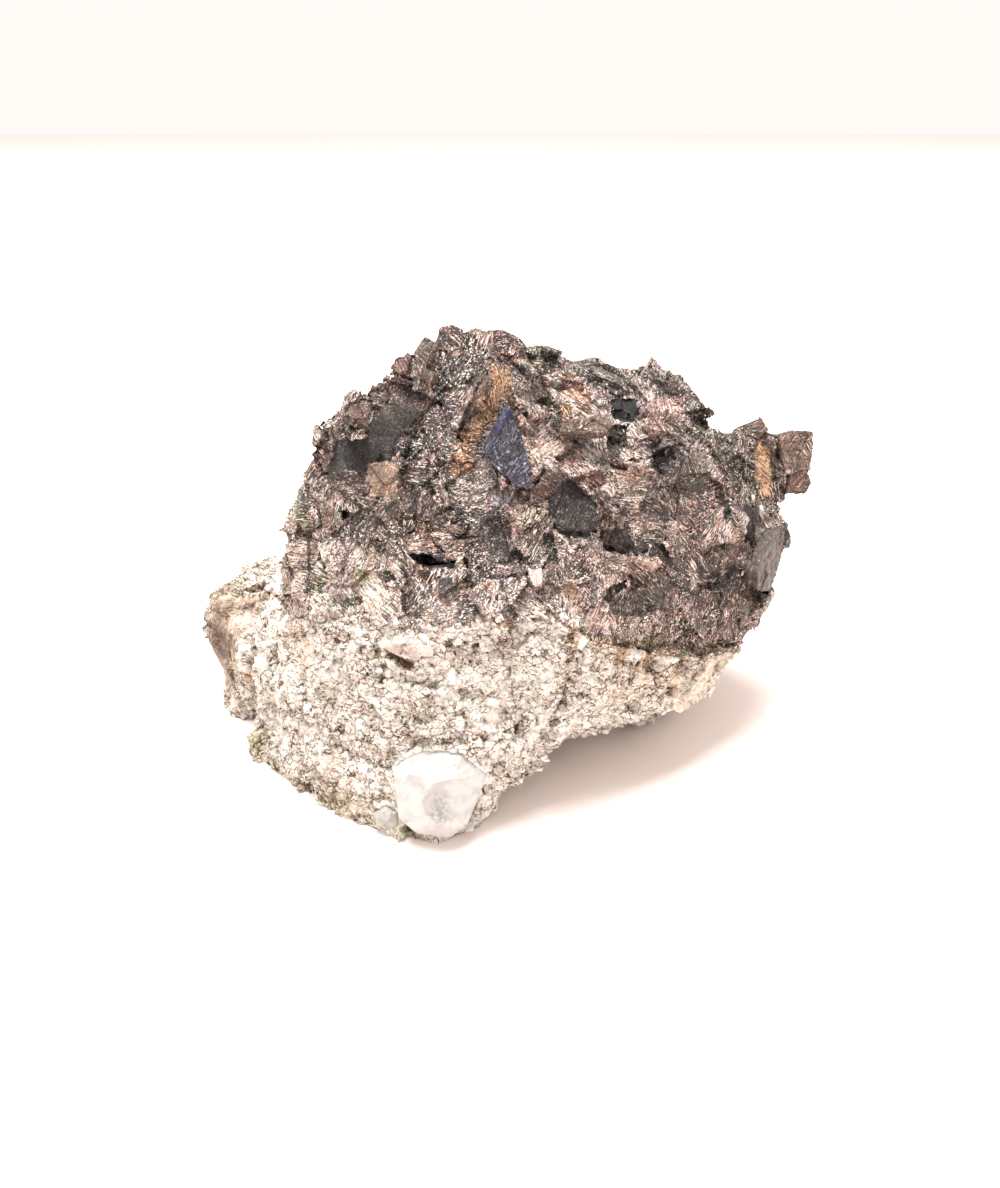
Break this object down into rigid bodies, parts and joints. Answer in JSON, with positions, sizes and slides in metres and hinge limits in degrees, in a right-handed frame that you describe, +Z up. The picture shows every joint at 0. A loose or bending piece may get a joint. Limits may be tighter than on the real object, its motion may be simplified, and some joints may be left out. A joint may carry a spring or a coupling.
{
  "type": "axinite on matrix mineral specimen",
  "caption": "Hand specimen of dark intergrown axinite crystals on a pale granular rock, with a clear white crystal set low in its front.",
  "frame": {"origin": "middle of the base, on the surface that the specimen rests on", "axes": "+Z up, +X along the longest side to the right as seen from the front, and the front with the white crystal looks along -Y"},
  "size_m": [0.1138, 0.0706, 0.0722],
  "materials": {
    "axinite": "dark violet-brown crystals, glassy on their broad faces and granular and pinkish between them, with rust stains",
    "matrix": "pale cream sugary rock of fine grains with pinkish-brown seams",
    "white_crystal": "cloudy clear-white crystal, glassy on its faces",
    "grey_grain": "cloudy grey grain with a waxy shine",
    "clear_grain": "small clear grain",
    "pink_flake": "thin pinkish flake with a dull pearly shine"
  },
  "bodies": {
    "root": {"axinite_mass": "axinite", "matrix_rock": "matrix", "white_crystal": "white_crystal", "grey_grain": "grey_grain", "clear_grain": "clear_grain", "pink_flake": "pink_flake"}
  },
  "joints": []
}
